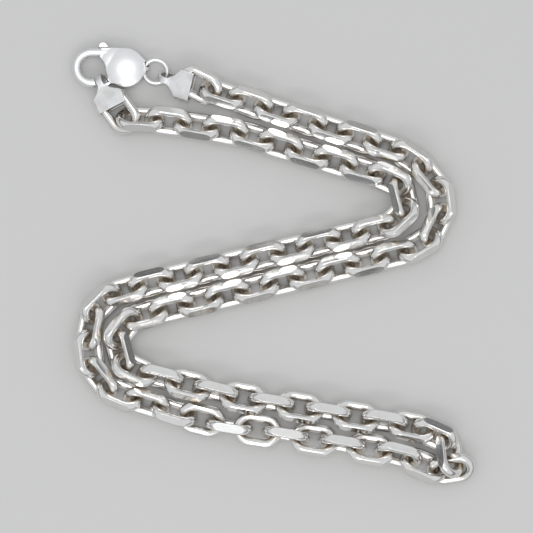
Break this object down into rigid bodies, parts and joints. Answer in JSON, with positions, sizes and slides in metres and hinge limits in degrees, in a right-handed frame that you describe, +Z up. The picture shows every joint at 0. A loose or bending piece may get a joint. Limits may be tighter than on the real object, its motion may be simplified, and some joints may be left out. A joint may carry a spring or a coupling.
{
  "type": "cable chain necklace",
  "caption": "Heavy cable chain necklace with flat-cut links, laid down in a Z, closed by a lobster clasp with a sprung thumb lever, a jump ring and two folded end caps.",
  "frame": {"origin": "on the surface the necklace lies on, under the middle of its outline", "axes": "+Z up off the surface, +Y from the folded chain towards the clasp, +X to the right with the clasp at the upper left"},
  "size_m": [0.0822, 0.0904, 0.0072],
  "materials": {
    "clasp_silver": "polished silver, softly worn",
    "chain_silver": "bright flat-cut silver with fine scratches and warm tarnish in the crevices"
  },
  "bodies": {
    "necklace": {"clasp_body": "clasp_silver", "clasp_pin": "clasp_silver", "jump_ring": "clasp_silver", "end_cap_a": "clasp_silver", "end_cap_b": "clasp_silver", "chain_outer_strand": "chain_silver", "chain_inner_strand": "chain_silver"},
    "lever": {"clasp_lever": "clasp_silver"}
  },
  "joints": [
    {"name": "thumb_lever", "type": "hinge", "parent": "necklace", "child": "lever", "pos_m": [-0.03146, 0.03877, 0.002], "axis": [0, 0, -1], "range_deg": [0, 12], "stiffness_Nm_per_rad": 0.01}
  ]
}
